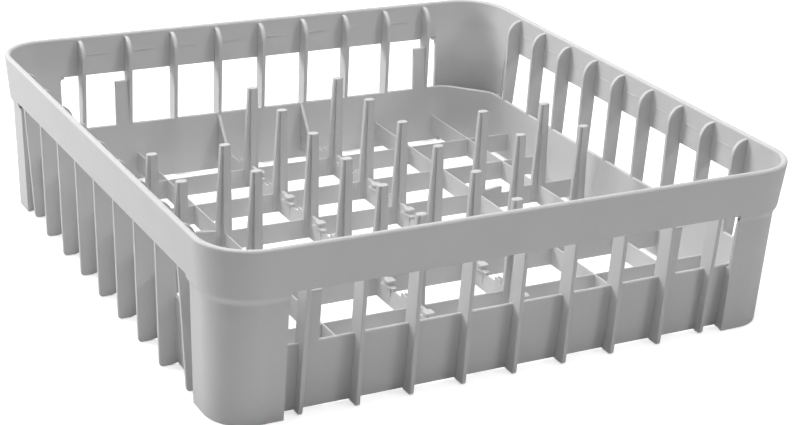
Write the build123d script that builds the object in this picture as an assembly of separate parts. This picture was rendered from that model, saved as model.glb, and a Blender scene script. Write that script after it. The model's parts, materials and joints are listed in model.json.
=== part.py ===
"""Square dishwasher rack for cups and glasses, moulded in one piece.

A flared rim band stands on four stepped corner posts. Free ribs join the rim to a lower
wall, the skirt, and leave windows between them. A grid of upright bars makes the floor,
with tapered pegs where two columns and two rows of bars cross.
"""
from build123d import *
import os
from math import radians, sin, sqrt, tan

# Driving dimensions, in millimetres
WIDTH = 400.0            # over the rim's top edge, the same both ways
HEIGHT = 110.0
CORNER_RADIUS = 33.0     # of the rim's top edge

RIM_HEIGHT = 29.8
RIM_FLARE = 3.0          # how far the outer face leans out over the rim's height
RIM_TOP_WALL = 4.2
RIM_LOW_WALL = 2.6
RIM_LOW_SLOPE = 1.8      # how much higher the rim's lower edge is inside than outside
RIM_TOP_ROUND = 1.8
RIM_LOW_ROUND = 1.2

POST_STEP = 2.0          # post face behind the rim's lower edge
POST_LEAN = 3.2          # how far the post leans out from its foot to the rim
POST_WALL = 2.6
POST_RUN = 14.0          # straight part of a post beside the corner's arc
STEP_RISE = 3.5          # height of the sloping step between post and rim
STEP_DROP = 0.7          # top of that step below the rim's lower edge
STEP_ROUND = 3.0
LEDGE_LIFT = 3.8         # start of the step inside, above the rim's lower edge
HAUNCH = 6.0             # radius of the window corner between rim and post

SKIRT_HEIGHT = 44.5
SKIRT_SETBACK = 12.4     # skirt's top outer edge behind the rim's top outer edge
SKIRT_LEAN = 6.0
SKIRT_WALL = 2.6
SKIRT_EDGE_ROUND = 1.0
SKIRT_TURN_RADIUS = 14.0
SKIRT_CORNER_CUT = 29.0  # how much of each wall the skirt's cut corner takes off

RIB_COUNT = 9            # on each wall
RIB_WALL = 2.7
RIB_PROUD = 2.2          # rib's inner edge in front of the skirt's top inner edge
RIB_ROOT = 17.5          # how far the rib's inner edge runs down into the skirt
RIB_TOP_GAP = 2.5        # rib's top below the rim's top edge
RIB_TOP_ROUND = 7.5
RIB_FOOT_ROUND = 2.0
RIB_FOOT_SETBACK = 6.8   # rib's outer edge at the table, behind the rim's top outer edge
END_RIB_SETBACK = 3.0    # the first and last rib stand back by this much more
END_RIB_GAP = 13.0       # middle of the last rib to the edge of the post, before the shift
RIB_SHIFT = -1.8         # the whole row stands to one side, the same way round on each wall
WEB_WALL = 2.8           # return web along each edge of a post
WEB_TOP_GAP = 1.5        # web's top below the skirt's top

TAB_WIDTH = 10.0
TAB_GAP = 3.4            # tab's top below the rim's lower edge
TAB_ROUND = 0.8

FLOOR_LIFT = 7.3         # underside of the floor bars above the table
BAR_HEIGHT = 13.9
BAR_WALL = 2.6
PEG_BAR_DROP = 2.0       # bars under the peg columns are lower by this much
COLUMN_SHARES = (0.1894, 0.547, 0.83)  # places of the bars, as shares of half the floor
ROW_SHARES = (0.141, 0.42, 0.703)

GUSSET_REACH = 17.0
GUSSET_TOP_GAP = 1.5

PEG_TOP = 83.0           # above the table
PEG_FOOT_WIDTH = 12.6
PEG_TOP_WIDTH = 7.0
PEG_FOOT_DEPTH = 9.0
PEG_TOP_DEPTH = 5.2
PEG_FIN = 3.2
PEG_TIP_CUT = 0.8

PAD_LENGTH = 19.0
PAD_RISE = 3.5           # pad's top above the other bars
PAD_WIDTH = 6.2
PAD_PLATE = 1.8
PAD_PLATE_LENGTH = 6.4
LUG_LENGTH = 12.0
LUG_RISE = 1.5
LUG_WALL = 1.2

BURY = 1.2               # how far one feature runs into the next so that they join

# Flats that stand for each round corner of an outline: few, so that the mesh stays light
SMALL_EDGE = 1
SOFT_STEP = 2
RIM_EDGE = 3
SHOULDER = 4

# Derived sizes
HALF = WIDTH / 2
QUARTER = 90.0
EIGHTH = 45.0
SIDES = range(4)         # right, back, left, front
RIGHT, BACK, LEFT, FRONT = SIDES

CORNER_CENTRE = HALF - CORNER_RADIUS
POST_EDGE = CORNER_CENTRE - POST_RUN
RIM_BOTTOM = HEIGHT - RIM_HEIGHT
RIM_LOW_OUT = HALF - RIM_FLARE
RIM_LOW_IN = RIM_LOW_OUT - RIM_LOW_WALL
RIM_TOP_IN = HALF - RIM_TOP_WALL
POST_TOP_OUT = RIM_LOW_OUT - POST_STEP
POST_FOOT_OUT = POST_TOP_OUT - POST_LEAN
SKIRT_TOP_OUT = HALF - SKIRT_SETBACK
SKIRT_FOOT_OUT = SKIRT_TOP_OUT - SKIRT_LEAN
SKIRT_FOOT_IN = SKIRT_FOOT_OUT - SKIRT_WALL
STEP_TOP = RIM_BOTTOM - STEP_DROP
STEP_FOOT = STEP_TOP - STEP_RISE
LEDGE_TOP = RIM_BOTTOM + LEDGE_LIFT
RIB_TOP = HEIGHT - RIB_TOP_GAP
RIB_IN = SKIRT_TOP_OUT - SKIRT_WALL - RIB_PROUD
RIB_PITCH = 2 * (POST_EDGE - END_RIB_GAP) / (RIB_COUNT - 1)
RIB_PLACES = [(n - (RIB_COUNT - 1) / 2) * RIB_PITCH + RIB_SHIFT for n in range(RIB_COUNT)]
FLOOR_TOP = FLOOR_LIFT + BAR_HEIGHT
PEG_BAR_TOP = FLOOR_TOP - PEG_BAR_DROP
COLUMNS = [side * share * SKIRT_FOOT_IN for side in (-1, 1) for share in COLUMN_SHARES]
ROWS = [side * share * SKIRT_FOOT_IN for side in (-1, 1) for share in ROW_SHARES]
PEG_COLUMN = COLUMN_SHARES[0] * SKIRT_FOOT_IN
PEG_ROW = ROW_SHARES[0] * SKIRT_FOOT_IN


def skirt_in(height):
    """Distance of the skirt's inner face from the middle of the rack at a height."""
    return SKIRT_FOOT_IN + SKIRT_LEAN * height / SKIRT_HEIGHT


def skirt_middle(height):
    """Distance of the middle of the skirt's wall, where ribs, webs and bars are rooted."""
    return skirt_in(height) + SKIRT_WALL / 2


def rim_in(height):
    """Distance of the rim's inner face from the middle of the rack at a height."""
    return RIM_LOW_IN + (RIM_TOP_IN - RIM_LOW_IN) * (height - RIM_BOTTOM) / RIM_HEIGHT


def rim_out(height):
    """Distance of the rim's outer face from the middle of the rack at a height."""
    return RIM_LOW_OUT + RIM_FLARE * (height - RIM_BOTTOM) / RIM_HEIGHT


def post_out(height):
    """Distance of a post's outer face from the middle of the rack at a height."""
    return POST_FOOT_OUT + POST_LEAN * height / RIM_BOTTOM


def softened(before, corner, after, radius, flats):
    """Points that round a corner off with a few flats."""
    to_before = (before - corner).normalized()
    to_after = (after - corner).normalized()
    half_angle = radians(to_before.get_angle(to_after) / 2)
    centre = corner + (to_before + to_after).normalized() * (radius / sin(half_angle))
    reach = radius / tan(half_angle)
    first = corner + to_before * reach - centre
    last = corner + to_after * reach - centre
    spokes = [first + (last - first) * (step / flats) for step in range(flats + 1)]
    return [centre + spoke.normalized() * radius for spoke in spokes]


def outline(points, rounds=()):
    """A face through points, with a soft corner for each (number, radius, flats) in rounds."""
    corners = [Vector(*point) for point in points]
    path = [[corner] for corner in corners]
    for number, radius, flats in rounds:
        after = corners[(number + 1) % len(corners)]
        path[number] = softened(corners[number - 1], corners[number], after, radius, flats)
    return make_face(Polyline(*sum(path, []), close=True))


def upright(section, along):
    """Stand a section, drawn outward and up, across the right wall."""
    return Pos(0, along, 0) * (Plane.XZ * section)


def turned(shape, side):
    """Carry a shape from the right wall to another side."""
    return Rot(0, 0, QUARTER * side) * shape


def plate(section, along, thickness):
    """A plate of the right wall: a section given thickness along the wall."""
    return extrude(upright(section, along), thickness / 2, both=True)


def swing(section, out, along, angle):
    """A section swung round an upright axis at (out, along)."""
    return revolve(upright(section, along), Axis((out, along, 0), (0, 0, 1)), angle)


def panel(face, outer, thickness):
    """A panel of the right wall: a face drawn along and up, given thickness inward."""
    return extrude(Pos(outer - thickness, 0, 0) * (Plane.YZ * face), thickness)


def rim():
    """Straight runs of the flared rim band, with a rounded top edge."""
    inner_bottom = RIM_BOTTOM + RIM_LOW_SLOPE
    section = outline(
        [
            (rim_in(inner_bottom), inner_bottom),
            (RIM_LOW_OUT, RIM_BOTTOM),
            (HALF, HEIGHT),
            (RIM_TOP_IN, HEIGHT),
        ],
        [
            (1, RIM_LOW_ROUND, SMALL_EDGE),
            (2, RIM_TOP_ROUND, RIM_EDGE),
            (3, RIM_TOP_ROUND, RIM_EDGE),
        ],
    )
    return [turned(plate(section, 0, 2 * POST_EDGE), side) for side in SIDES]


def posts():
    """Corner shells: post and rim in one wall, with a soft step from one to the other."""
    section = outline(
        [
            (POST_FOOT_OUT - POST_WALL, 0),
            (POST_FOOT_OUT, 0),
            (post_out(STEP_FOOT), STEP_FOOT),
            (rim_out(STEP_TOP), STEP_TOP),
            (HALF, HEIGHT),
            (RIM_TOP_IN, HEIGHT),
            (rim_in(LEDGE_TOP), LEDGE_TOP),
            (post_out(STEP_FOOT) - POST_WALL, STEP_FOOT),
        ],
        [
            (2, STEP_ROUND, SOFT_STEP),
            (3, STEP_ROUND, SOFT_STEP),
            (4, RIM_TOP_ROUND, RIM_EDGE),
            (5, RIM_TOP_ROUND, RIM_EDGE),
        ],
    )
    middle = POST_EDGE + POST_RUN / 2
    run = plate(section, middle, POST_RUN)
    corner = swing(section, CORNER_CENTRE, CORNER_CENTRE, QUARTER)
    next_run = turned(plate(section, -middle, POST_RUN), BACK)
    return [turned(piece, side) for side in SIDES for piece in (run, corner, next_run)]


def haunches():
    """Rounded upper corners of the windows beside the posts."""
    low = RIM_BOTTOM - HAUNCH - BURY
    near = POST_EDGE - HAUNCH - BURY
    face = outline(
        [
            (POST_EDGE + BURY, low),
            (POST_EDGE + BURY, RIM_BOTTOM + BURY),
            (near, RIM_BOTTOM + BURY),
            (near, RIM_BOTTOM),
            (POST_EDGE, RIM_BOTTOM),
            (POST_EDGE, low),
        ],
        [(4, HAUNCH, SHOULDER)],
    )
    outer = POST_TOP_OUT + BURY
    pair = [panel(end_face, outer, POST_WALL) for end_face in (face, mirror(face, Plane.YZ))]
    return [turned(haunch, side) for side in SIDES for haunch in pair]


def skirt():
    """Lower wall, leaning out, with its corners cut across."""
    section = outline(
        [
            (SKIRT_FOOT_IN, 0),
            (SKIRT_FOOT_OUT, 0),
            (SKIRT_TOP_OUT, SKIRT_HEIGHT),
            (SKIRT_TOP_OUT - SKIRT_WALL, SKIRT_HEIGHT),
        ],
        [(2, SKIRT_EDGE_ROUND, SMALL_EDGE), (3, SKIRT_EDGE_ROUND, SMALL_EDGE)],
    )
    axis_out = SKIRT_TOP_OUT - SKIRT_TURN_RADIUS
    axis_along = SKIRT_TOP_OUT - SKIRT_CORNER_CUT - SKIRT_TURN_RADIUS * tan(radians(EIGHTH / 2))
    cut_length = (axis_out - axis_along) * sqrt(2)
    wall = plate(section, 0, 2 * axis_along)
    first_turn = swing(section, axis_out, axis_along, EIGHTH)
    to_axis = Pos(axis_out, axis_along, 0)
    cut = to_axis * Rot(0, 0, EIGHTH) * to_axis.inverse() * plate(
        section, axis_along + cut_length / 2, cut_length)
    second_turn = turned(swing(section, axis_out, -axis_along, -EIGHTH), BACK)
    return [turned(piece, side) for side in SIDES for piece in (wall, first_turn, cut, second_turn)]


def rib(foot_setback):
    """Upright fin: free in the window, proud of the skirt, round-shouldered inside the rim."""
    return outline(
        [
            (skirt_middle(0), 0),
            (HALF - foot_setback, 0),
            (RIM_LOW_IN + BURY, RIM_BOTTOM + RIM_LOW_SLOPE),
            (rim_in(RIB_TOP) + BURY, RIB_TOP),
            (RIB_IN, RIB_TOP),
            (RIB_IN, SKIRT_HEIGHT - RIB_ROOT),
        ],
        [(1, RIB_FOOT_ROUND, SMALL_EDGE), (4, RIB_TOP_ROUND, SHOULDER)],
    )


def ribs():
    """Evenly spaced fins on each wall; the first and last stand back at the foot."""
    inner = rib(RIB_FOOT_SETBACK)
    end = rib(RIB_FOOT_SETBACK + END_RIB_SETBACK)
    fins = [plate(inner, along, RIB_WALL) for along in RIB_PLACES[1:-1]]
    fins += [plate(end, along, RIB_WALL) for along in (RIB_PLACES[0], RIB_PLACES[-1])]
    return [turned(fin, side) for side in SIDES for fin in fins]


def webs():
    """Return webs that tie both edges of each post back to the skirt, up to the skirt's top."""
    top = SKIRT_HEIGHT - WEB_TOP_GAP
    section = outline([
        (skirt_middle(0), 0),
        (POST_FOOT_OUT - BURY, 0),
        (post_out(top) - BURY, top),
        (skirt_middle(top), top),
    ])
    middle = POST_EDGE + WEB_WALL / 2
    pair = [plate(section, end * middle, WEB_WALL) for end in (-1, 1)]
    return [turned(web, side) for side in SIDES for web in pair]


def tabs():
    """Panels that carry the skirt up beside two ribs of the front and two of the back."""
    foot = SKIRT_HEIGHT - SKIRT_EDGE_ROUND - BURY
    top = RIM_BOTTOM - TAB_GAP
    section = outline(
        [
            (skirt_in(foot), foot),
            (skirt_in(foot) + SKIRT_WALL, foot),
            (skirt_in(top) + SKIRT_WALL, top),
            (skirt_in(top), top),
        ],
        [(2, TAB_ROUND, SMALL_EDGE), (3, TAB_ROUND, SMALL_EDGE)],
    )
    offset = (RIB_WALL + TAB_WIDTH - BURY) / 2
    pair = [plate(section, RIB_PLACES[number] + offset, TAB_WIDTH + BURY) for number in (0, -2)]
    return [turned(tab, side) for side in (FRONT, BACK) for tab in pair]


def bar(along, top):
    """Floor bar that runs from the left wall to the right, at one place along it."""
    reach = skirt_middle(FLOOR_LIFT)
    section = outline([(-reach, FLOOR_LIFT), (reach, FLOOR_LIFT), (reach, top), (-reach, top)])
    return plate(section, along, BAR_WALL)


def floor():
    """Crossing bars on edge; the two under the peg columns are a little lower."""
    across = [bar(row, FLOOR_TOP) for row in ROWS]
    tops = [PEG_BAR_TOP if abs(column) == PEG_COLUMN else FLOOR_TOP for column in COLUMNS]
    lengthwise = [turned(bar(column, top), BACK) for column, top in zip(COLUMNS, tops)]
    return across + lengthwise


def gussets():
    """Triangles that brace the front and back skirt where the peg columns' bars meet it."""
    top = SKIRT_HEIGHT - GUSSET_TOP_GAP
    foot = PEG_BAR_TOP - BURY
    section = outline([
        (skirt_in(foot) - GUSSET_REACH, foot),
        (skirt_in(foot) + BURY, foot),
        (skirt_in(top) + BURY, top),
        (skirt_in(top), top),
        (skirt_in(FLOOR_TOP) - GUSSET_REACH, PEG_BAR_TOP),
    ])
    braces = [plate(section, column, BAR_WALL) for column in (-PEG_COLUMN, PEG_COLUMN)]
    return [turned(brace, side) for side in (FRONT, BACK) for brace in braces]


def fin(foot_width, top_width):
    """One tapered fin of a peg, seen flat, with its tip corners cut."""
    foot, top = foot_width / 2, top_width / 2
    return outline([
        (-foot, FLOOR_LIFT),
        (foot, FLOOR_LIFT),
        (top, PEG_TOP - PEG_TIP_CUT),
        (top - PEG_TIP_CUT, PEG_TOP),
        (PEG_TIP_CUT - top, PEG_TOP),
        (-top, PEG_TOP - PEG_TIP_CUT),
    ])


def peg(column, row):
    """Tapered peg of cross section, standing where two bars meet."""
    wide = plate(fin(PEG_FOOT_WIDTH, PEG_TOP_WIDTH), 0, PEG_FIN)
    deep = turned(plate(fin(PEG_FOOT_DEPTH, PEG_TOP_DEPTH), 0, PEG_FIN), BACK)
    return [Pos(column, row, 0) * piece for piece in (wide, deep)]


def peg_seat(column, row):
    """Raised pad in front of a column peg and a pair of lugs behind it."""
    pad_top = FLOOR_TOP + PAD_RISE
    lug_top = PEG_BAR_TOP + LUG_RISE
    stem = Pos(0, -PAD_LENGTH / 2, 0) * Box(
        BAR_WALL, PAD_LENGTH, pad_top - FLOOR_LIFT - BURY, align=(Align.CENTER, Align.CENTER, Align.MIN))
    cap = Pos(0, PAD_PLATE_LENGTH / 2 - PAD_LENGTH, pad_top) * Box(
        PAD_WIDTH, PAD_PLATE_LENGTH, PAD_PLATE, align=(Align.CENTER, Align.CENTER, Align.MAX))
    lug = Box(LUG_WALL, LUG_LENGTH, lug_top - FLOOR_LIFT - BURY, align=(Align.CENTER, Align.MIN, Align.MIN))
    offset = BAR_WALL / 2
    foot = FLOOR_LIFT + BURY
    seat = [Pos(0, 0, foot) * stem, cap]
    seat += [Pos(side * offset, 0, foot) * lug for side in (-1, 1)]
    return [Pos(column, row, 0) * piece for piece in seat]


def pegs():
    """Two columns and two rows of pegs, sharing the four in the middle."""
    pieces = []
    for column in COLUMNS:
        for row in ROWS:
            in_column = abs(column) == PEG_COLUMN
            if in_column or abs(row) == PEG_ROW:
                pieces += peg(column, row)
            if in_column:
                pieces += peg_seat(column, row)
    return pieces


def rack():
    """The whole moulding as one solid."""
    first, *others = (
        rim() + posts() + haunches() + skirt() + ribs() + webs() + tabs() + floor() + gussets() + pegs())
    return first.fuse(*others).clean()


os.makedirs("parts", exist_ok=True)
body = rack()
export_step(body, "parts/rack.step")
print("solids", len(body.solids()), "faces", len(body.faces()), "volume", round(body.volume))
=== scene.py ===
# %% [markdown]
# # A moulded dishwasher rack for cups and glasses
# The rack is one piece of light grey polypropylene, shot into a steel mould. It has a flared rim, four
# corner posts, a row of thin ribs on each wall, a low wall called the skirt, and a grid floor with pegs.
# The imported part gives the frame: its sizes and its place are fixed. This lesson builds the same rack
# again with softer edges, because light on small rounded edges is what makes plastic look moulded.

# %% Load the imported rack
import json
import math

import bmesh
import bpy
from mathutils import Matrix, Vector

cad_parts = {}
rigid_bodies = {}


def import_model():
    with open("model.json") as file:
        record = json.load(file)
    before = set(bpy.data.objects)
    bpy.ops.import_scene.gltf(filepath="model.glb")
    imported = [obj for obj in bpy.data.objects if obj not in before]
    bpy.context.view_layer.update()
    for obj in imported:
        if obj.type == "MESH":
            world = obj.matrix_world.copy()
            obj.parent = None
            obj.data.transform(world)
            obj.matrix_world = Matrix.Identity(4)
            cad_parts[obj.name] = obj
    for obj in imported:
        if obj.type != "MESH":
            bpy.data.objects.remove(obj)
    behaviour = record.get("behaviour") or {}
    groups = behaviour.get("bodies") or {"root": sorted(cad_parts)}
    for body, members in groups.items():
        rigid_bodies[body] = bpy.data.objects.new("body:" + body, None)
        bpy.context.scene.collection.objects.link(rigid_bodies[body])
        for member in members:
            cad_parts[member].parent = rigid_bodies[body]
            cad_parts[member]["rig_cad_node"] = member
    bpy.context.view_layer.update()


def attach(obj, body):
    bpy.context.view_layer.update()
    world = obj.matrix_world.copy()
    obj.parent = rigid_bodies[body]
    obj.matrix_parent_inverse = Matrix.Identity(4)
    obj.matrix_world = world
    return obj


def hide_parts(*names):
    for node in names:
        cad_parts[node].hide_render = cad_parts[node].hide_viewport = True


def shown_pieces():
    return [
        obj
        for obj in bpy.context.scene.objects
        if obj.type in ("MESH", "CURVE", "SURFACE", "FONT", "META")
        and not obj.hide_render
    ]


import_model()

# %% [markdown]
# ## One way to add a node
# Shaders and Geometry Nodes are both node trees. A small bench adds a node of any type, sets its own
# settings first and then its sockets. A field wraps an output socket, so that sums and products of
# fields can be written as plain Python, and each sign adds one Math node.

# %% A bench for node trees and a field for socket maths
class Field:
    """An output socket that can be added, subtracted and multiplied."""

    def __init__(self, bench, socket):
        self.bench = bench
        self.socket = socket

    def maths(self, operation, first, second):
        node = self.bench.node("ShaderNodeMath", {"operation": operation}, {0: first, 1: second})
        return self.bench.out(node)

    def __add__(self, other):
        return self.maths("ADD", self, other)

    def __radd__(self, other):
        return self.maths("ADD", other, self)

    def __sub__(self, other):
        return self.maths("SUBTRACT", self, other)

    def __mul__(self, other):
        return self.maths("MULTIPLY", self, other)

    def __rmul__(self, other):
        return self.maths("MULTIPLY", other, self)


class Bench:
    """A node tree with one way to add a node."""

    def __init__(self, tree):
        self.tree = tree

    def node(self, kind, settings=None, sockets=None):
        made = self.tree.nodes.new(kind)
        for key, value in (settings or {}).items():
            setattr(made, key, value)
        for key, value in (sockets or {}).items():
            if isinstance(value, Field):
                self.tree.links.new(value.socket, made.inputs[key])
            else:
                made.inputs[key].default_value = value
        return made

    def out(self, node, name=0):
        return Field(self, node.outputs[name])


print("bench and field are ready")

# %% [markdown]
# ## Light grey polypropylene
# The mould's walls were eroded with sparks, which leaves a fine matt grain on the plastic. The colour is
# almost even: the pigment clouds a little, and long soft streaks show where the melt flowed up the walls.
# An image could carry this, but noise on the piece's own coordinates has no seams and no resolution.

# %% The rack's plastic
DARKER_GREY, LIGHTER_GREY = (0.565, 0.565, 0.567, 1), (0.625, 0.625, 0.623, 1)


def rack_plastic():
    material = bpy.data.materials.new("rack_plastic")
    material.use_nodes = True
    bench = Bench(material.node_tree)
    surface = material.node_tree.nodes["Principled BSDF"]
    place = bench.out(bench.node("ShaderNodeTexCoord"), "Object")

    def noise(scale, detail, stretch=(1, 1, 1)):
        spread = bench.node("ShaderNodeMapping", None, {"Vector": place, "Scale": stretch})
        made = bench.node("ShaderNodeTexNoise", None, {
            "Vector": bench.out(spread), "Scale": scale, "Detail": detail, "Roughness": 0.55})
        return bench.out(made, "Fac")

    clouds = noise(24, 3)
    streaks = noise(55, 2, (1, 1, 0.12))
    grain = noise(1500, 2)
    pores = noise(420, 4)
    tint = 0.65 * clouds + 0.35 * streaks
    colour = bench.node("ShaderNodeMix", {"data_type": "RGBA"}, {
        "Factor": tint, "A": DARKER_GREY, "B": LIGHTER_GREY})
    height = 0.7 * grain + 0.3 * pores
    bump = bench.node("ShaderNodeBump", None, {"Height": height, "Strength": 0.12, "Distance": 0.0004})
    links = material.node_tree.links
    links.new(colour.outputs["Result"], surface.inputs["Base Color"])
    links.new((0.40 + 0.16 * pores).socket, surface.inputs["Roughness"])
    links.new(bump.outputs["Normal"], surface.inputs["Normal"])
    surface.inputs["Specular IOR Level"].default_value = 0.35
    surface.inputs["IOR"].default_value = 1.49
    return material


plastic = rack_plastic()
print("plastic has", len(plastic.node_tree.nodes), "nodes")

# %% [markdown]
# ## Outlines with rounded corners
# Every wall, rib and bar of a moulding starts as a flat outline. Its corners are rounded, because a mould
# is cut by a round tool and sharp plastic edges chip. Sizes are written in millimetres, as on a drawing.

# %% Round the corners of an outline
MM = 0.001


def rounded(points, radii, steps=5):
    """The outline with an arc at each corner that radii names by its number."""
    corners = [Vector(point) for point in points]
    path = []
    for number, corner in enumerate(corners):
        radius = radii.get(number, 0)
        if not radius:
            path.append(corner)
            continue
        before = (corners[number - 1] - corner).normalized()
        after = (corners[(number + 1) % len(corners)] - corner).normalized()
        half = before.angle(after) / 2
        centre = corner + (before + after).normalized() * (radius / math.sin(half))
        first = corner + before * (radius / math.tan(half)) - centre
        sweep = first.angle_signed(corner + after * (radius / math.tan(half)) - centre)
        for step in range(steps + 1):
            turn = Matrix.Rotation(-sweep * step / steps, 2)
            path.append(centre + turn @ first)
    return path


test = rounded([(0, 0), (10, 0), (10, 10), (0, 10)], {2: 3})
print("a corner of radius 3 ends at", tuple(round(v, 3) for v in test[2]), tuple(round(v, 3) for v in test[-2]))

# %% [markdown]
# ## From evaluated nodes to a plain mesh
# Geometry Nodes keep a shape live. Once it is right, the result becomes a plain mesh, and the helper
# objects go. Large flats should stay flat in shading although they end in small rounds, so the normals
# are weighted by face area.

# %% Turn a live object into a finished piece
MERGE = 0.002
SHARP_FROM, SOFTENED_FROM = math.radians(38), math.radians(50)
SOFT_STEPS = 3


def set_inputs(modifier, values):
    """Set a node modifier's inputs by the names that its tree shows."""
    for item in modifier.node_group.interface.items_tree:
        if item.item_type == "SOCKET" and item.in_out == "INPUT" and item.name in values:
            modifier[item.identifier] = values[item.name]


def smooth_piece(piece):
    """Shade smooth, keep real edges, and let large faces lead the normals."""
    piece.data.shade_smooth()
    piece.data.set_sharp_from_angle(angle=SHARP_FROM)
    weighted = piece.modifiers.new("flat_faces_lead", "WEIGHTED_NORMAL")
    weighted.keep_sharp = True


def finish_piece(live, name, soft_edge=0, soft_below=0):
    """The evaluated shape of a live object as a plain mesh; its edges below a height can be softened."""
    bpy.context.view_layer.update()
    evaluated = live.evaluated_get(bpy.context.evaluated_depsgraph_get())
    mesh = bpy.data.meshes.new_from_object(evaluated)
    bpy.data.objects.remove(live)
    shape = bmesh.new()
    shape.from_mesh(mesh)
    bmesh.ops.remove_doubles(shape, verts=shape.verts, dist=MERGE * MM)
    bmesh.ops.recalc_face_normals(shape, faces=shape.faces)
    if soft_edge:
        hard = [edge for edge in shape.edges if edge.calc_face_angle(0) > SOFTENED_FROM
                and max(corner.co.z for corner in edge.verts) < soft_below * MM]
        bmesh.ops.bevel(shape, geom=hard, offset=soft_edge * MM, offset_type="OFFSET", segments=SOFT_STEPS,
                        profile=0.5, affect="EDGES", clamp_overlap=True)
    shape.to_mesh(mesh)
    shape.free()
    mesh.name = name
    piece = bpy.data.objects.new(name, mesh)
    bpy.context.scene.collection.objects.link(piece)
    smooth_piece(piece)
    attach(piece, "root")
    print(name, "has", len(mesh.polygons), "faces")
    return piece


print("finishing helper is ready")

# %% [markdown]
# ## A tree that draws a wall along a path
# The rim, the posts and the skirt are each one section carried along a path. The tree rounds the path's
# corners, sweeps the section along it and repeats the result round the rack. A modifier could do the
# sweep alone, but here the corner radius and the number of copies stay as named inputs.

# %% The wall tree
def new_tree(name, inputs):
    """A geometry tree with named inputs, and a bench to build on."""
    tree = bpy.data.node_groups.new(name, "GeometryNodeTree")
    for label, kind in inputs:
        tree.interface.new_socket(label, in_out="INPUT", socket_type=kind)
    tree.interface.new_socket("Geometry", in_out="OUTPUT", socket_type="NodeSocketGeometry")
    bench = Bench(tree)
    return bench, bench.node("NodeGroupInput")


def turned_copies(bench, shape, copies, first=0):
    """Copies of a shape on one wall after another, by quarter turns, as real geometry."""
    points = bench.node("GeometryNodeMeshLine", {"mode": "OFFSET"}, {"Count": copies, "Offset": (0, 0, 0)})
    turn = (bench.out(bench.node("GeometryNodeInputIndex")) + first) * (math.pi / 2)
    angles = bench.node("ShaderNodeCombineXYZ", None, {"Z": turn})
    rotation = bench.node("FunctionNodeEulerToRotation", None, {0: bench.out(angles)})
    spread = bench.node("GeometryNodeInstanceOnPoints", None, {
        "Points": bench.out(points), "Instance": shape, "Rotation": bench.out(rotation)})
    return bench.out(bench.node("GeometryNodeRealizeInstances", None, {"Geometry": bench.out(spread)}))


def end_tree(bench, shape, material):
    """Give the shape its material and send it to the tree's output."""
    painted = bench.node("GeometryNodeSetMaterial", None, {"Geometry": shape, "Material": material})
    bench.node("NodeGroupOutput", None, {"Geometry": bench.out(painted)})


def wall_tree():
    bench, given = new_tree("wall_along_path", [
        ("Path", "NodeSocketGeometry"), ("Section", "NodeSocketObject"), ("Corner radius", "NodeSocketFloat"),
        ("Corner steps", "NodeSocketInt"), ("Copies", "NodeSocketInt"), ("Plastic", "NodeSocketMaterial")])
    soft_path = bench.node("GeometryNodeFilletCurve", {"mode": "POLY"}, {
        "Curve": bench.out(given, "Path"), "Count": bench.out(given, "Corner steps"),
        "Radius": bench.out(given, "Corner radius")})
    level_path = bench.node("GeometryNodeSetCurveNormal", {"mode": "Z_UP"}, {"Curve": bench.out(soft_path)})
    section = bench.node("GeometryNodeObjectInfo", None, {"Object": bench.out(given, "Section")})
    wall = bench.node("GeometryNodeCurveToMesh", None, {
        "Curve": bench.out(level_path), "Profile Curve": bench.out(section, "Geometry"), "Fill Caps": True})
    around = turned_copies(bench, bench.out(wall), bench.out(given, "Copies"))
    end_tree(bench, around, bench.out(given, "Plastic"))
    return bench.tree


wall_nodes = wall_tree()
print("wall tree has", len(wall_nodes.nodes), "nodes")

# %% [markdown]
# A path is a poly curve on the table, seen from above. A section is a closed poly curve whose first
# number runs outward from the path. Curve to Mesh turns the second number downward for a path that runs
# anticlockwise, so heights are written with the sign turned.

# %% Curves for paths and sections
CORNER_STEPS = 18


def poly_curve(name, points, closed):
    """A poly curve through points in millimetres."""
    curve = bpy.data.curves.new(name, "CURVE")
    curve.dimensions = "3D"
    spline = curve.splines.new("POLY")
    spline.points.add(len(points) - 1)
    for place, point in zip(spline.points, points):
        place.co = (point[0] * MM, point[1] * MM, 0, 1)
    spline.use_cyclic_u = closed
    made = bpy.data.objects.new(name, curve)
    bpy.context.scene.collection.objects.link(made)
    return made


def wall(name, section, path, closed, radius, copies, soft_edge=0, soft_below=0):
    """A wall of the rack: a section of (outward, height) carried along a path."""
    base = path[0][0]
    drawn = poly_curve(name + "_section", [(out - base, -height) for out, height in section], True)
    live = poly_curve(name + "_path", path, closed)
    sweep = live.modifiers.new("wall", "NODES")
    sweep.node_group = wall_nodes
    set_inputs(sweep, {"Section": drawn, "Corner radius": radius * MM, "Corner steps": CORNER_STEPS,
                       "Copies": copies, "Plastic": plastic})
    piece = finish_piece(live, name, soft_edge, soft_below)
    bpy.data.objects.remove(drawn)
    return piece


print("path and section helpers are ready")

# %% [markdown]
# ## Rim band
# The rim is what hands grip. It flares a little, so that racks stack and the moulding leaves its tool,
# and its top edge is fully rounded. Its straight runs end at the posts.

# %% Straight runs of the rim
HALF = 200.0
HEIGHT = 110.0
RIM_BOTTOM, RIM_LOW_SLOPE = 80.2, 1.8
RIM_LOW_OUT, RIM_LOW_IN, RIM_TOP_IN = 197.0, 194.4, 195.8
RIM_TOP_ROUND, RIM_FOOT_ROUND_IN, RIM_FOOT_ROUND_OUT = 1.8, 0.5, 0.9
POST_EDGE = 153.0
WALLS = 4


def rim_in(height):
    """Distance of the rim's inner face from the middle at a height."""
    return RIM_LOW_IN + (RIM_TOP_IN - RIM_LOW_IN) * (height - RIM_BOTTOM) / (HEIGHT - RIM_BOTTOM)


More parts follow.
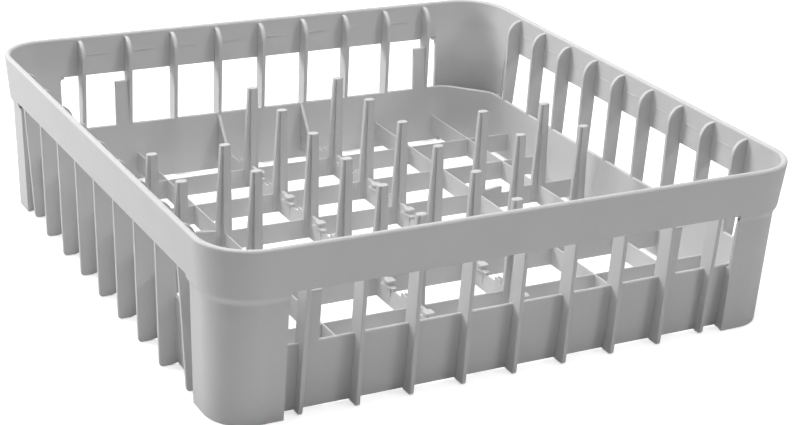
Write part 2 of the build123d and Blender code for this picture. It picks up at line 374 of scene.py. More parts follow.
rim_foot = RIM_BOTTOM + RIM_LOW_SLOPE
rim_section = rounded(
    [(rim_in(rim_foot), rim_foot), (RIM_LOW_OUT, RIM_BOTTOM), (HALF, HEIGHT), (RIM_TOP_IN, HEIGHT)],
    {0: RIM_FOOT_ROUND_IN, 1: RIM_FOOT_ROUND_OUT, 2: RIM_TOP_ROUND, 3: RIM_TOP_ROUND})
wall("rim_runs", rim_section, [(HALF, -POST_EDGE), (HALF, POST_EDGE)], False, 0, WALLS)

# %% [markdown]
# ## Corner posts
# Below the rim each corner is a shell that steps in by a few millimetres through a soft slope, outside
# and inside alike. Post and rim are one section here, so the rim runs on round the corner unbroken.

# %% Corner shells
CORNER_RADIUS = 33.0
POST_FOOT_OUT, POST_TOP_OUT = 191.8, 195.0
POST_WALL, POST_SOFT = 2.6, 0.5
STEP_TOP, STEP_FOOT, STEP_ROUND = 79.5, 76.0, 6.5
LEDGE_TOP, LEDGE_FOOT, LEDGE_ROUND = 88.0, 64.0, 60.0


def between(low, high, height, top):
    """A distance that grows evenly from the table to a height."""
    return low + (high - low) * height / top


def post_out(height):
    """Distance of a post's outer face from the middle at a height."""
    return between(POST_FOOT_OUT, POST_TOP_OUT, height, RIM_BOTTOM)


rim_at_step = RIM_LOW_OUT + (HALF - RIM_LOW_OUT) * (STEP_TOP - RIM_BOTTOM) / (HEIGHT - RIM_BOTTOM)
post_section = rounded(
    [
        (POST_FOOT_OUT - POST_WALL, 0), (POST_FOOT_OUT, 0), (post_out(STEP_FOOT), STEP_FOOT),
        (rim_at_step, STEP_TOP), (HALF, HEIGHT), (RIM_TOP_IN, HEIGHT),
        (rim_in(LEDGE_TOP), LEDGE_TOP), (post_out(LEDGE_FOOT) - POST_WALL, LEDGE_FOOT),
    ],
    {2: STEP_ROUND, 3: STEP_ROUND, 4: RIM_TOP_ROUND, 5: RIM_TOP_ROUND, 6: LEDGE_ROUND, 7: LEDGE_ROUND})
wall("corner_posts", post_section, [(HALF, POST_EDGE), (HALF, HALF), (POST_EDGE, HALF)],
     False, CORNER_RADIUS, WALLS, POST_SOFT, RIM_BOTTOM)

# %% [markdown]
# ## Skirt
# The skirt is the low wall that holds the floor. Seen from above it is a square with its corners cut
# across, and the turns between the flats are soft. It stops a little above the table, so that the rack
# stands on its ribs and posts and water runs off under it.

# %% The skirt all round
SKIRT_TOP_OUT, SKIRT_FOOT_OUT = 187.6, 184.6
SKIRT_HEIGHT, SKIRT_WALL, SKIRT_LIFT = 44.5, 2.6, 1.2
SKIRT_FOOT_ROUND, SKIRT_TOP_ROUND = 0.4, 1.0
CORNER_CUT, CUT_TURN = 29.0, 14.0
skirt_section = rounded(
    [
        (SKIRT_FOOT_OUT - SKIRT_WALL, SKIRT_LIFT), (SKIRT_FOOT_OUT, SKIRT_LIFT),
        (SKIRT_TOP_OUT, SKIRT_HEIGHT), (SKIRT_TOP_OUT - SKIRT_WALL, SKIRT_HEIGHT),
    ],
    {0: SKIRT_FOOT_ROUND, 1: SKIRT_FOOT_ROUND, 2: SKIRT_TOP_ROUND, 3: SKIRT_TOP_ROUND})
far, near = SKIRT_TOP_OUT, SKIRT_TOP_OUT - CORNER_CUT
skirt_path = [(far, -near), (far, near), (near, far), (-near, far), (-far, near), (-far, -near),
              (-near, -far), (near, -far)]
skirt = wall("skirt", skirt_section, skirt_path, True, CUT_TURN, 1)

# %% [markdown]
# ## The left wall drawn in
# A long thin wall draws in a little while the plastic cools. On this rack the left wall shows it most. It
# is pulled in between the posts, so the ribs hide it when one looks along the wall. The wall is cut into
# short lengths and moved in, more at its top and its middle. Lattice and curve modifiers could bend it
# too, but two lines of arithmetic say exactly how much.

# %% The left wall drawn in
DRAW_IN_FOOT, DRAW_IN_TOP, DRAW_SPAN = 3.0, 4.4, 163.0
LEFT_FROM, LONG_FROM, DRAW_CUTS = -170.0, 100.0, 15
work = bmesh.new()
work.from_mesh(skirt.data)
runs = [edge for edge in work.edges
        if max(point.co.x for point in edge.verts) < LEFT_FROM * MM and edge.calc_length() > LONG_FROM * MM]
bmesh.ops.subdivide_edges(work, edges=runs, cuts=DRAW_CUTS, use_grid_fill=True)
moved = [point for point in work.verts if point.co.x < LEFT_FROM * MM]
for point in moved:
    middle_share = max(0, 1 - (point.co.y / (DRAW_SPAN * MM)) ** 4)
    point.co.x += between(DRAW_IN_FOOT, DRAW_IN_TOP, point.co.z / MM, SKIRT_HEIGHT) * middle_share * MM
work.to_mesh(skirt.data)
work.free()
print("left wall drawn in by", DRAW_IN_TOP, "mm at most,", len(moved), "points moved")

# %% [markdown]
# ## Plates with soft edges
# Ribs, webs, bars and braces are all flat plates. A plate is an outline with thickness, and its two long
# edges are bevelled, so that each one catches a thin line of light as it does on the real rack.

# %% Make one plate
def soft_plate(name, outline, thickness, edge=0.4, slim=1.0):
    """A plate drawn outward and up, with soft edges; slim is the share of its thickness left at the top."""
    shape = bmesh.new()
    sides = []
    for side in (-0.5, 0.5):
        ring = [shape.verts.new((out * MM, side * thickness * MM, up * MM)) for out, up in outline]
        sides.append(ring)
        shape.faces.new(ring)
    count = len(outline)
    for n in range(count):
        m = (n + 1) % count
        shape.faces.new((sides[0][n], sides[0][m], sides[1][m], sides[1][n]))
    bmesh.ops.recalc_face_normals(shape, faces=shape.faces)
    around = [line for line in shape.edges if (line.verts[0] in sides[0]) == (line.verts[1] in sides[0])]
    bmesh.ops.bevel(shape, geom=around, offset=edge * MM, offset_type="OFFSET", segments=SOFT_STEPS, profile=0.5,
                    affect="EDGES", clamp_overlap=True)
    low, high = min(up for out, up in outline) * MM, max(up for out, up in outline) * MM
    for corner in shape.verts:
        corner.co.y *= 1 - (1 - slim) * (corner.co.z - low) / (high - low)
    mesh = bpy.data.meshes.new(name)
    shape.to_mesh(mesh)
    shape.free()
    made = bpy.data.objects.new(name, mesh)
    bpy.context.scene.collection.objects.link(made)
    return made


print("plate helper is ready")

# %% [markdown]
# ## Ribs
# Nine thin ribs stiffen each wall. They stand proud of the skirt, cross the windows as free fins and end
# in round shoulders inside the rim. A row repeats along a wall by its pitch, and the row repeats on the
# next walls, so a tree with count, pitch and first wall as inputs says all there is to know.

# %% The tree for a row of fins on each wall
def fin_tree():
    bench, given = new_tree("fins_on_walls", [
        ("Place", "NodeSocketGeometry"), ("Fin", "NodeSocketObject"), ("Count", "NodeSocketInt"),
        ("Pitch", "NodeSocketFloat"), ("Shift", "NodeSocketFloat"), ("First wall", "NodeSocketInt"),
        ("Walls", "NodeSocketInt"), ("Plastic", "NodeSocketMaterial")])
    pitch = bench.out(given, "Pitch")
    start = (bench.out(given, "Count") - 1) * pitch * -0.5 + bench.out(given, "Shift")
    first = bench.node("ShaderNodeCombineXYZ", None, {"Y": start})
    stride = bench.node("ShaderNodeCombineXYZ", None, {"Y": pitch})
    line = bench.node("GeometryNodeMeshLine", {"mode": "OFFSET"}, {
        "Count": bench.out(given, "Count"), "Start Location": bench.out(first), "Offset": bench.out(stride)})
    fin = bench.node("GeometryNodeObjectInfo", None, {"Object": bench.out(given, "Fin")})
    row = bench.node("GeometryNodeInstanceOnPoints", None, {
        "Points": bench.out(line), "Instance": bench.out(fin, "Geometry")})
    solid_row = bench.node("GeometryNodeRealizeInstances", None, {"Geometry": bench.out(row)})
    around = turned_copies(bench, bench.out(solid_row), bench.out(given, "Walls"), bench.out(given, "First wall"))
    end_tree(bench, around, bench.out(given, "Plastic"))
    return bench.tree


fin_nodes = fin_tree()
print("fin tree has", len(fin_nodes.nodes), "nodes")

# %% [markdown]
# A rib's outline runs from its foot up the outer edge, over the shoulder and down the inner edge. On the
# left and front walls the ribs end a little lower and reach a little further in. The two end ribs of a
# wall, close to the posts, stand less proud.

# %% Rows of ribs
RIB_PITCH, RIB_COUNT, RIB_SHIFT = 35.0, 9, -1.8
RIB_WALL, RIB_FOOT_ROUND, RIB_FOOT_RUN = 2.7, 2.0, 4.5
RIB_FOOT_OUT, END_RIB_FOOT_OUT, RIB_INNER = 193.2, 190.2, 185.0
SUNK_IN_RIM_FOOT, SUNK_IN_RIM_TOP = 1.9, 1.2
SHOULDER_RISE, SHOULDER_GAP = 12.0, 1.0


def skirt_in(height):
    """Distance of the skirt's inner face from the middle at a height."""
    return between(SKIRT_FOOT_OUT, SKIRT_TOP_OUT, height, SKIRT_HEIGHT) - SKIRT_WALL


def rib_outline(foot_out, foot_in, inner_low, root, top):
    """A rib's outline: proud of the skirt below, free in the window, round-shouldered inside the rim."""
    reach = rim_in(top) - SHOULDER_GAP
    shoulder = [(reach + (reach - RIB_INNER) * math.cos(turn), top - SHOULDER_RISE * (1 - math.sin(turn)))
                for turn in (math.radians(90 + 10 * step) for step in range(10))]
    return rounded(
        [
            (foot_in, SKIRT_LIFT), (foot_in + RIB_FOOT_RUN, 0), (foot_out, 0),
            (RIM_LOW_IN + SUNK_IN_RIM_FOOT, rim_foot), (rim_in(top) + SUNK_IN_RIM_TOP, top),
            *shoulder, (inner_low, SKIRT_HEIGHT), (inner_low, root),
        ],
        {2: RIB_FOOT_ROUND}, 6)


def fin_rows(name, outline, thickness, count, pitch, shift=0, first=0, walls=WALLS, edge=0.5):
    """Plates in a row on each wall."""
    fin = soft_plate(name + "_fin", outline, thickness, edge)
    live = bpy.data.objects.new(name + "_rows", bpy.data.meshes.new(name + "_rows"))
    bpy.context.scene.collection.objects.link(live)
    rows = live.modifiers.new("rows", "NODES")
    rows.node_group = fin_nodes
    set_inputs(rows, {"Fin": fin, "Count": count, "Pitch": pitch * MM, "Shift": shift * MM, "First wall": first,
                      "Walls": walls, "Plastic": plastic})
    finish_piece(live, name)
    bpy.data.objects.remove(fin)


RIGHT, BACK, LEFT, FRONT = range(WALLS)
for side, first, foot_in, low, root, top in (
        ("right_back", RIGHT, skirt_in(0) + SKIRT_WALL / 2, 184.9, 43.5, 107.5),
        ("left_front", LEFT, 180.5, 182.4, 28.0, 105.8)):
    fin_rows("ribs_" + side, rib_outline(RIB_FOOT_OUT, foot_in, low, root, top), RIB_WALL,
             RIB_COUNT - 2, RIB_PITCH, RIB_SHIFT, first, 2)
    fin_rows("end_ribs_" + side, rib_outline(END_RIB_FOOT_OUT, foot_in, low, root, top), RIB_WALL,
             2, RIB_PITCH * (RIB_COUNT - 1), RIB_SHIFT, first, 2)

# %% [markdown]
# ## Witness lines
# Between the ribs the mould's inner wall is made of separate inserts. Where two of them meet, a little
# melt creeps in and leaves a hair-thin raised line on the rim's inner face. It is real relief, so it is
# built as a row of very low plates with the same tree.

# %% Lines where the mould's inserts meet
LINE_UP, LINE_LENGTH, LINE_SHIFT = 96.5, 14.0, 2.7
LINE_PROUD, LINE_SUNK, LINE_HALF, LINE_SOFT = 0.3, 0.8, 0.3, 0.12
line_face = rim_in(LINE_UP)
line_outline = [
    (line_face - LINE_PROUD, LINE_UP - LINE_HALF), (line_face + LINE_SUNK, LINE_UP - LINE_HALF),
    (line_face + LINE_SUNK, LINE_UP + LINE_HALF), (line_face - LINE_PROUD, LINE_UP + LINE_HALF),
]
fin_rows("witness_lines", line_outline, LINE_LENGTH, RIB_COUNT - 1, RIB_PITCH, LINE_SHIFT, edge=LINE_SOFT)

# %% [markdown]
# ## Return webs
# Each post is tied back to the skirt by a web along both its upright edges, as high as the skirt. Above
# it the post's edges stand free. The pair on a wall is a row of two fins with a long pitch, so the same
# tree makes them.

# %% Webs beside the posts
WEB_WALL, WEB_TOP, WEB_SPREAD = 2.8, 43.0, 1.2
SUNK = 1.2
web_outline = [
    (skirt_in(0) + SKIRT_WALL / 2, 0), (POST_FOOT_OUT - SUNK, 0), (post_out(WEB_TOP) - SUNK, WEB_TOP),
    (skirt_in(WEB_TOP) + SKIRT_WALL / 2, WEB_TOP),
]
fin_rows("return_webs", web_outline, WEB_WALL, 2, 2 * POST_EDGE + WEB_WALL + WEB_SPREAD)

# %% [markdown]
# ## Copies at chosen places
# Tabs, bars, braces, pegs and pads repeat too, but not at even steps. Their places are the points of a
# small mesh, each with its own turn, and one tree puts a copy of a template on every point.

# %% The tree for copies at places
def copies_tree():
    bench, given = new_tree("copies_at_places", [
        ("Places", "NodeSocketGeometry"), ("Template", "NodeSocketObject"), ("Plastic", "NodeSocketMaterial")])
    turn = bench.node("GeometryNodeInputNamedAttribute", {"data_type": "FLOAT"}, {"Name": "turn"})
    angles = bench.node("ShaderNodeCombineXYZ", None, {"Z": bench.out(turn)})
    rotation = bench.node("FunctionNodeEulerToRotation", None, {0: bench.out(angles)})
    template = bench.node("GeometryNodeObjectInfo", None, {"Object": bench.out(given, "Template")})
    spread = bench.node("GeometryNodeInstanceOnPoints", None, {
        "Points": bench.out(given, "Places"), "Instance": bench.out(template, "Geometry"),
        "Rotation": bench.out(rotation)})
    real = bench.node("GeometryNodeRealizeInstances", None, {"Geometry": bench.out(spread)})
    end_tree(bench, bench.out(real), bench.out(given, "Plastic"))
    return bench.tree


copies_nodes = copies_tree()


def copies(name, template, places):
    """Copies of a template at (x, y, turn in quarter turns)."""
    mesh = bpy.data.meshes.new(name + "_places")
    mesh.from_pydata([(x * MM, y * MM, 0) for x, y, quarter in places], [], [])
    turns = mesh.attributes.new("turn", "FLOAT", "POINT")
    turns.data.foreach_set("value", [quarter * math.pi / 2 for x, y, quarter in places])
    live = bpy.data.objects.new(name + "_places", mesh)
    bpy.context.scene.collection.objects.link(live)
    spread = live.modifiers.new("copies", "NODES")
    spread.node_group = copies_nodes
    set_inputs(spread, {"Template": template, "Plastic": plastic})
    finish_piece(live, name)
    bpy.data.objects.remove(template)


def on_wall(along, quarter):
    """The place of a plate that is drawn on the right wall and carried to another wall."""
    turn = quarter * math.pi / 2
    return (-math.sin(turn) * along, math.cos(turn) * along, quarter)


print("copies tree has", len(copies_nodes.nodes), "nodes")

# %% [markdown]
# ## Tabs
# Four small tabs carry the skirt up beside a rib, two in front and two behind. Each is a flat plate that
# is sunk a little into its rib, so that no gap shows between them.

# %% Tabs beside the ribs
TAB_WIDTH, TAB_FOOT, TAB_TOP = 10.0, 41, 76.8
TAB_ROUND, TAB_SOFT = 0.8, 0.6
TAB_RIBS = (-4, 3)
tab_outline = rounded(
    [
        (skirt_in(TAB_FOOT), TAB_FOOT), (skirt_in(TAB_FOOT) + SKIRT_WALL, TAB_FOOT),
        (skirt_in(TAB_TOP) + SKIRT_WALL, TAB_TOP), (skirt_in(TAB_TOP), TAB_TOP),
    ],
    {2: TAB_ROUND, 3: TAB_ROUND})
beside_rib = RIB_SHIFT + (RIB_WALL + TAB_WIDTH - SUNK) / 2
tab_along = [number * RIB_PITCH + beside_rib for number in TAB_RIBS]
copies("tabs", soft_plate("tab", tab_outline, TAB_WIDTH + SUNK, TAB_SOFT),
       [on_wall(along, quarter) for quarter in (FRONT, BACK) for along in tab_along])

# %% [markdown]
# ## Haunches
# At the posts the window's upper corner is rounded by a haunch under the rim, which stops cracks from
# starting there. A haunch is a small plate in the wall's own plane, and its mirror image stands at the
# wall's other end.

# %% Haunches under the rim
HAUNCH, HAUNCH_SOFT = 1.6, 0.3
HAUNCH_IN, HAUNCH_OUT = POST_TOP_OUT - 1.4, POST_TOP_OUT + 1.2


def flat_template(name, outline, inner, outer, edge):
    """A plate drawn along and up, whose thickness runs outward between two distances."""
    made = soft_plate(name, outline, outer - inner, edge)
    stand = Matrix.Rotation(math.pi / 2, 4, "Z")
    made.data.transform(Matrix.Translation(((inner + outer) / 2 * MM, 0, 0)) @ stand)
    return made


haunch_outline = rounded(
    [
        (POST_EDGE + SUNK, RIM_BOTTOM - HAUNCH - SUNK), (POST_EDGE + SUNK, RIM_BOTTOM + SUNK),
        (POST_EDGE - HAUNCH - SUNK, RIM_BOTTOM + SUNK), (POST_EDGE - HAUNCH - SUNK, RIM_BOTTOM),
        (POST_EDGE, RIM_BOTTOM), (POST_EDGE, RIM_BOTTOM - HAUNCH - SUNK),
    ],
    {4: HAUNCH}, 8)
other_outline = [(-along, up) for along, up in reversed(haunch_outline)]
for name, outline in (("haunches_one_side", haunch_outline), ("haunches_other_side", other_outline)):
    copies(name, flat_template("haunch", outline, HAUNCH_IN, HAUNCH_OUT, HAUNCH_SOFT),
           [on_wall(0, quarter) for quarter in range(WALLS)])

# %% [markdown]
# ## Floor grid
# The floor is a grid of bars on edge, open for the spray from below. They get thinner to the top, because
# the moulding is pulled upward out of its tool, and their tops are almost round. Bars under the two peg
# columns are a little lower. Where two bars cross, one top is a hair lower than the other. The two middle
# cross bars dip beyond the lugs of the side pegs.

# %% Floor bars
FLOOR_LOW, FLOOR_TOP, PEG_BAR_TOP = 7.3, 21.2, 19.2
BAR_WALL, BAR_SLIM, BAR_SOFT = 2.6, 0.42, 0.5
CROSS_DROP, LEFT_SHORT = 0.08, 2.4
LUG_END, DIP_END, DIP_SLOPE, DIP_FLOOR = 117.5, 129.5, 1, 18.6
BAR_REACH = skirt_in(FLOOR_LOW) + SKIRT_WALL / 2
peg_columns, side_columns = [-33.903, 33.903], [-148.57, -97.913, 97.913, 148.57]
peg_rows, plain_rows = [-25.239, 25.239], [-125.837, -75.18, 75.18, 125.837]
columns, rows = sorted(peg_columns + side_columns), sorted(peg_rows + plain_rows)


def bar_outline(top, short=0):
    """A bar from wall to wall, a little shorter at its left end where the wall is drawn in."""
    left = short - BAR_REACH
    return [(left, FLOOR_LOW), (BAR_REACH, FLOOR_LOW), (BAR_REACH, top), (left, top)]


cross_top = FLOOR_TOP - CROSS_DROP
cross_outline = bar_outline(cross_top, LEFT_SHORT)
dips = [(DIP_END, cross_top), (DIP_END - DIP_SLOPE, DIP_FLOOR), (LUG_END, DIP_FLOOR), (LUG_END, cross_top)]
dips += [(-out, up) for out, up in reversed(dips)]
dipped_outline = cross_outline[:3] + dips + cross_outline[3:]
for name, outline, places in (
        ("cross_bars", cross_outline, [(0, row, 0) for row in plain_rows]),
        ("dipped_bars", dipped_outline, [(0, row, 0) for row in peg_rows]),
        ("long_bars", bar_outline(FLOOR_TOP), [(column, 0, 1) for column in side_columns]),
        ("peg_bars", bar_outline(PEG_BAR_TOP), [(column, 0, 1) for column in peg_columns])):
    copies(name, soft_plate("bar", outline, BAR_WALL, BAR_SOFT, BAR_SLIM), places)

# %% [markdown]
# ## Braces
# A sloping brace ties each end of the two peg bars to the skirt. Its foot starts inside the bar and its
# back ends inside the skirt, so that no gap shows.

# %% Braces where the peg bars meet the skirt
BRACE_REACH, BRACE_TOP, BRACE_FOOT = 17.0, 43.0, 18.0
BRACE_WALL, BRACE_SOFT = 2.5, 0.45
brace_outline = [
    (skirt_in(BRACE_FOOT) - BRACE_REACH, BRACE_FOOT), (skirt_in(BRACE_FOOT) + SUNK, BRACE_FOOT),
    (skirt_in(BRACE_TOP) + SUNK, BRACE_TOP), (skirt_in(BRACE_TOP), BRACE_TOP),
    (skirt_in(FLOOR_TOP) - BRACE_REACH, PEG_BAR_TOP),
]
copies("braces", soft_plate("brace", brace_outline, BRACE_WALL, BRACE_SOFT),
       [on_wall(column, quarter) for quarter in (FRONT, BACK) for column in peg_columns])

# %% [markdown]
# ## Pegs
# Cups lean on twenty pegs. A peg is a cross in section, which fills evenly in the mould, and it tapers so
# that it leaves the mould. The flutes between its fins run out towards the tip, which is a small oval.
# It is lofted through a few cross-shaped rings, and the last rings close in for the round of the tip.

# %% One peg
def cross_ring(half_x, half_y, fin_x, fin_y, soft):
    """A cross seen from above: fin_x is half the thickness of the fin along x, fin_y of that along y."""
    one_half = [(fin_y, -half_y), (fin_y, -fin_x), (half_x, -fin_x),
                (half_x, fin_x), (fin_y, fin_x), (fin_y, half_y)]
    corners = one_half + [(-x, -y) for x, y in one_half]
    valleys = {1, 4, 7, 10}
    return rounded(corners, {n: soft * (0.8 if n in valleys else 1.0) for n in range(12)}, 3)


def loft(name, rings):
    """A closed skin through rings of (points, height) in millimetres."""
    shape = bmesh.new()
    loops = [[shape.verts.new((x * MM, y * MM, up * MM)) for x, y in ring] for ring, up in rings]
    shape.faces.new(loops[0])
    shape.faces.new(loops[-1])
    for low, high in zip(loops, loops[1:]):
        for n in range(len(low)):
            m = (n + 1) % len(low)
            shape.faces.new((low[n], low[m], high[m], high[n]))
    bmesh.ops.recalc_face_normals(shape, faces=shape.faces)
    mesh = bpy.data.meshes.new(name)
    shape.to_mesh(mesh)
    shape.free()
    made = bpy.data.objects.new(name, mesh)
    bpy.context.scene.collection.objects.link(made)
    return made


PEG_TOP, PEG_SOFT, TIP_ROUND = 83.0, 0.6, 0.7
PEG_FOOT_CROSS, PEG_TIP_CROSS = (6.3, 4.5, 1.5, 1.5), (3.5, 2.6, 1.95, 2.35)


def peg_ring(height, inset=0):
    """The peg's cross at a height; inset draws it in for the tip's round."""
    share = (height - FLOOR_LOW) / (PEG_TOP - FLOOR_LOW)
    sizes = [foot + (tip - foot) * share - inset for foot, tip in zip(PEG_FOOT_CROSS, PEG_TIP_CROSS)]
    return cross_ring(*sizes, PEG_SOFT - inset / 2)


peg_rings = [(peg_ring(height), height) for height in (FLOOR_LOW + 2, 30, 55, PEG_TOP - TIP_ROUND)]
for degrees in (30, 60, 85):
    rise = TIP_ROUND * math.sin(math.radians(degrees))
    inset = TIP_ROUND * (1 - math.cos(math.radians(degrees)))
    peg_rings.append((peg_ring(PEG_TOP - TIP_ROUND + rise, inset), PEG_TOP - TIP_ROUND + rise))
peg_places = [(x, y, 0) for x in columns for y in rows if x in peg_columns or y in peg_rows]
copies("pegs", loft("peg", peg_rings), peg_places)
print(len(peg_places), "pegs stand on the floor")

# %% [markdown]
# ## Pads
# On the two peg columns the bar rises to a pad in front of each peg: a thin stem under a flat cap, with a
# small shelf on both sides that narrows to the front. They are small, but they break up the floor's even
# pattern. Caps and shelves are drawn as upright plates and laid flat.

# %% Pads in front of the pegs
PAD_ROOT, PAD_TOP, PAD_LENGTH, PAD_ROUND = 8.5, 24.7, 19.0, 0.8
STEM_WALL, STEM_DROP, STEM_SOFT = 2.5, 0.4, 0.3
CAP_HALF, CAP_NEAR, CAP_FAR = 3.1, 12.8, 19.2
CAP_WALL, CAP_SOFT, SHELF_WALL, SHELF_SOFT = 1.8, 0.45, 1.7, 0.4
peg_bar_places = [(x, y, 0) for x in peg_columns for y in rows]


def lay_flat(plate, height):
    """Turn an upright plate to lie level with its middle at a height."""
    plate.data.transform(Matrix.Translation((0, 0, height * MM)) @ Matrix.Rotation(-math.pi / 2, 4, "X"))
    return plate


stem_top = PAD_TOP - STEM_DROP
stem_outline = rounded(
    [(-PAD_LENGTH, PAD_ROOT), (0, PAD_ROOT), (0, stem_top), (-PAD_LENGTH, stem_top)], {3: PAD_ROUND}, 3)
copies("stems", soft_plate("stem", stem_outline, STEM_WALL, STEM_SOFT),
       [(x, y, 1) for x, y, quarter in peg_bar_places])
cap_outline = rounded(
    [(-CAP_HALF, -CAP_FAR), (-CAP_HALF, -CAP_NEAR), (CAP_HALF, -CAP_NEAR), (CAP_HALF, -CAP_FAR)],
    {n: PAD_ROUND for n in range(4)}, 3)
cap = soft_plate("cap", cap_outline, CAP_WALL, CAP_SOFT)
copies("caps", lay_flat(cap, PAD_TOP - CAP_WALL / 2), peg_bar_places)
shelf_outline = [(-0.5, -9.5), (-4.2, -11.5), (-1.5, -23), (1.5, -23), (4.2, -11.5), (0.5, -9.5)]
shelf = soft_plate("shelf", shelf_outline, SHELF_WALL, SHELF_SOFT)
copies("shelves", lay_flat(shelf, FLOOR_TOP - SHELF_WALL / 2), peg_bar_places)

# %% [markdown]
# ## Lugs
# Behind each of these pegs stand two thin lugs with a slot between them. They start low at the peg, step
# up and end upright.

# %% Lugs behind the pegs
LUG_WALL, LUG_APART, LUG_SOFT = 1.1, 2.5, 0.25
LUG_NEAR, LUG_STEP, LUG_FAR = 2, (7.5, 9), 16.5
LUG_LOW, LUG_TOP = 20.7, 23.6
lug_outline = rounded(
    [(LUG_NEAR, PAD_ROOT), (LUG_FAR, PAD_ROOT), (LUG_FAR, LUG_TOP),
     (LUG_STEP[1], LUG_TOP), (LUG_STEP[0], LUG_LOW), (LUG_NEAR, LUG_LOW)],
    {2: PAD_ROUND, 3: PAD_ROUND}, 3)
copies("lugs", soft_plate("lug", lug_outline, LUG_WALL, LUG_SOFT),
       [(x + side * LUG_APART / 2, y, 1) for x, y, quarter in peg_bar_places for side in (-1, 1)])

# %% [markdown]
# Four of the side pegs have a lug too, on the side away from the middle. It runs along the cross bar,
# rises a little to its end and stops short, and the bar dips beyond it.

# %% Lugs beside the side pegs
SIDE_LUG_LOW, SIDE_LUG_TOP, SIDE_LUG_WALL, SIDE_LUG_SOFT = 22.0, 24.1, 2.7, 0.4
side_column = min(column for column in side_columns if column > 0)
side_far = LUG_END - side_column
side_lug_outline = rounded(
    [(LUG_NEAR, PAD_ROOT), (side_far, PAD_ROOT), (side_far, SIDE_LUG_TOP), (LUG_NEAR, SIDE_LUG_LOW)],
    {2: PAD_ROUND}, 3)
copies("side_lugs", soft_plate("side_lug", side_lug_outline, SIDE_LUG_WALL, SIDE_LUG_SOFT),
       [(side * side_column, row, 1 - side) for side in (-1, 1) for row in peg_rows])

# %% [markdown]
# ## The imported rack steps back
# The pieces above together stand for the one imported solid, which is hidden now. Every piece rides on the
# rack's only body.

# %% Hide the imported rack
rack_pieces = [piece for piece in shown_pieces() if "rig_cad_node" not in piece]
for piece in rack_pieces:
    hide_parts("rack")
print(len(rack_pieces), "pieces stand for the packed rack")

# %% [markdown]
# ## Floor
# The rack stands on a plain pale floor that keeps its shadow. A little glow that only the camera sees
# lifts the floor to the white of the picture, and it puts no light on the plastic.

# %% A pale floor that keeps the shadow
FLOOR_HALF, FLOOR_UP = 4.0, -0.0004
FLOOR_GREY, FLOOR_GLOW = (0.8, 0.8, 0.8, 1), 0.6


def pale_floor():
    mesh = bpy.data.meshes.new("floor")
    corners = [(x * FLOOR_HALF, y * FLOOR_HALF, FLOOR_UP) for x, y in ((-1, -1), (1, -1), (1, 1), (-1, 1))]
    mesh.from_pydata(corners, [], [(0, 1, 2, 3)])
    floor = bpy.data.objects.new("floor", mesh)
    bpy.context.scene.collection.objects.link(floor)
    material = bpy.data.materials.new("pale_floor")
    material.use_nodes = True
    bench = Bench(material.node_tree)
    surface = material.node_tree.nodes["Principled BSDF"]
    surface.inputs["Base Color"].default_value = FLOOR_GREY
    surface.inputs["Roughness"].default_value = 0.9
    surface.inputs["Specular IOR Level"].default_value = 0.0
    seen = bench.out(bench.node("ShaderNodeLightPath"), "Is Camera Ray")
    glow = bench.node("ShaderNodeEmission", None, {"Color": (1, 1, 1, 1), "Strength": seen * FLOOR_GLOW})
    both = bench.node("ShaderNodeAddShader")
    links = material.node_tree.links
    links.new(surface.outputs[0], both.inputs[0])
    links.new(glow.outputs[0], both.inputs[1])
    links.new(both.outputs[0], material.node_tree.nodes["Material Output"].inputs["Surface"])
    mesh.materials.append(material)
    return floor


floor = pale_floor()
print("floor is", tuple(round(v, 2) for v in floor.dimensions))

# %% [markdown]
# ## Light
# Soft studio light: a wide lamp overhead, a key from behind on the left, which makes the left faces the
# brightest, and a weak fill from the front right. The background is white to the camera and in
# reflections only, so that it lights the plastic very little.

# %% Studio light
SKY_LEVEL = 0.01


def area_lamp(name, place, aim, size, power):
    lamp = bpy.data.lights.new(name, "AREA")
    lamp.shape = "RECTANGLE"
    lamp.size, lamp.size_y = size, size
    lamp.energy = power
    made = bpy.data.objects.new(name, lamp)
    made.location = place
    made.rotation_euler = (Vector(aim) - Vector(place)).to_track_quat("-Z", "Y").to_euler()
    bpy.context.scene.collection.objects.link(made)


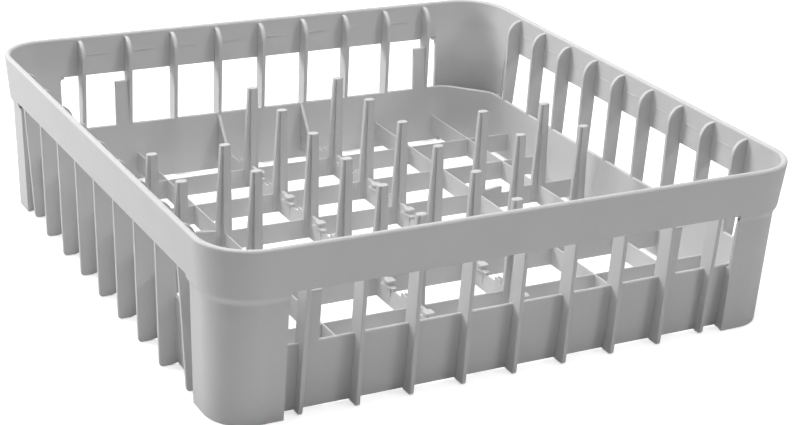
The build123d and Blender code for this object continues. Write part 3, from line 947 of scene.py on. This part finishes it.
area_lamp("overhead", (-0.05, -0.05, 1.25), (0, 0, 0), 1.1, 14.6)
area_lamp("key", (-1.3, 1.15, 1.06), (0, 0, 0.05), 0.85, 30)
area_lamp("fill", (1.2, -1.5, 1.15), (0, 0, 0.05), 0.5, 9)

world = bpy.data.worlds.new("studio")
world.use_nodes = True
bpy.context.scene.world = world
sky = Bench(world.node_tree)
ray = sky.node("ShaderNodeLightPath")
shown = sky.out(ray, "Is Camera Ray") + sky.out(ray, "Is Glossy Ray") + sky.out(ray, "Is Transmission Ray")
level = SKY_LEVEL + (1 - SKY_LEVEL) * shown
background = world.node_tree.nodes["Background"]
background.inputs["Color"].default_value = (1, 1, 1, 1)
world.node_tree.links.new(level.socket, background.inputs["Strength"])
print("three lamps and an even sky")

# %% [markdown]
# ## Camera
# The photograph was taken with a long lens from the front left, a little above the rack, and the picture
# leans by about three degrees. These values come from matching corners, ribs and pegs to the picture.

# %% Camera at the photograph's angle
IMAGE_WIDTH = 800
FOCAL_PIXELS = 1862.601
CAMERA_PLACE = (-0.552404, -1.027619, 0.507332)
azimuth, elevation, lean = (math.radians(degrees) for degrees in (-29.1858, 22.2038, 3.1502))
ahead = Vector((-math.sin(azimuth) * math.cos(elevation), math.cos(azimuth) * math.cos(elevation),
                -math.sin(elevation)))
level_right = Vector((math.cos(azimuth), math.sin(azimuth), 0))
level_up = level_right.cross(ahead)
right = math.cos(lean) * level_right + math.sin(lean) * level_up
up = -math.sin(lean) * level_right + math.cos(lean) * level_up

lens = bpy.data.cameras.new("camera")
lens.sensor_fit = "HORIZONTAL"
lens.sensor_width = 36
lens.lens = FOCAL_PIXELS / IMAGE_WIDTH * lens.sensor_width
lens.clip_start, lens.clip_end = 0.05, 50
camera = bpy.data.objects.new("camera", lens)
turned = Matrix((right, up, -ahead)).transposed().to_4x4()
camera.matrix_world = Matrix.Translation(CAMERA_PLACE) @ turned
bpy.context.scene.collection.objects.link(camera)
bpy.context.scene.camera = camera
bpy.context.scene.view_settings.view_transform = "Standard"
print("lens is", round(lens.lens, 2), "mm")
